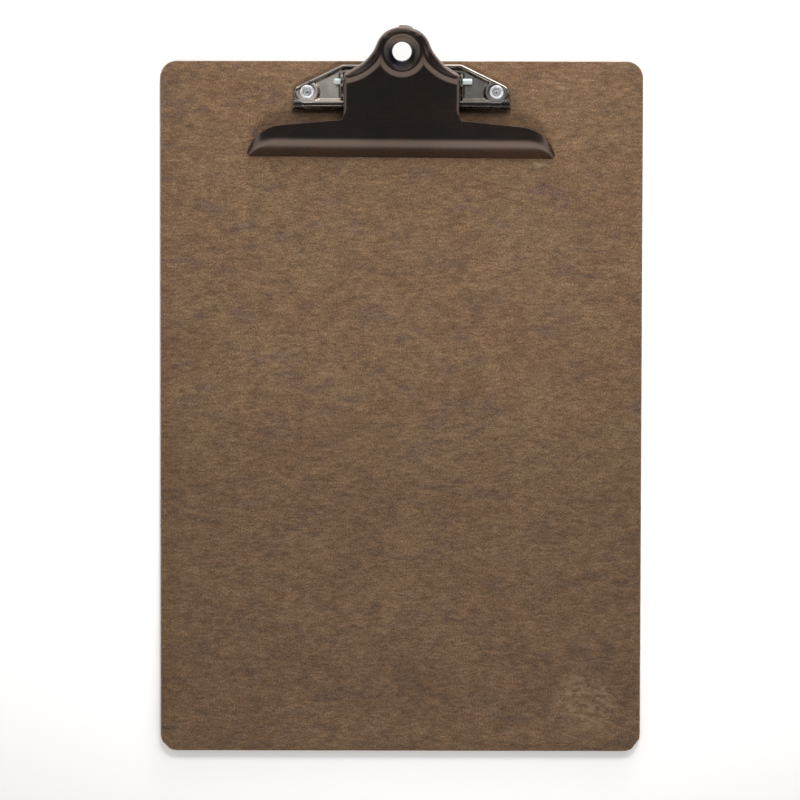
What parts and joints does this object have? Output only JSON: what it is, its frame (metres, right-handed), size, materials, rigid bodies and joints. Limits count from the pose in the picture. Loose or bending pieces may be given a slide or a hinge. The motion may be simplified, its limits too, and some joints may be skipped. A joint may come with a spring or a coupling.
{
  "type": "clipboard",
  "caption": "Flat hardboard writing board with a riveted, spring-loaded lever clip whose handle has a hanging hole.",
  "frame": {"origin": "centre of the board's flat back face", "axes": "+Y along the board towards the clip, +Z out of the front face, +X to the right seen from the front"},
  "size_m": [0.23, 0.3454, 0.0236],
  "materials": {
    "hardboard": "matt tempered hardboard",
    "nickel_plate": "bright nickel plate",
    "bronzed_steel": "dark bronze lacquer over brushed steel",
    "zinc_steel": "bluish zinc plate",
    "spring_steel": "oiled spring wire",
    "rivet_steel": "bright zinc plate"
  },
  "bodies": {
    "base": {"board": "hardboard", "base_plate": "nickel_plate", "hinge_pin": "zinc_steel", "torsion_spring": "spring_steel", "rivet_left": "rivet_steel", "rivet_right": "rivet_steel"},
    "lever": {"jaw_lever": "bronzed_steel"}
  },
  "joints": [
    {"name": "jaw_hinge", "type": "hinge", "parent": "base", "child": "lever", "pos_m": [0, 0.1545, 0.0125], "axis": [-1, 0, 0], "range_deg": [0, 22], "stiffness_Nm_per_rad": 0.3, "springref_deg": -68.75, "deforming": ["torsion_spring"]}
  ]
}
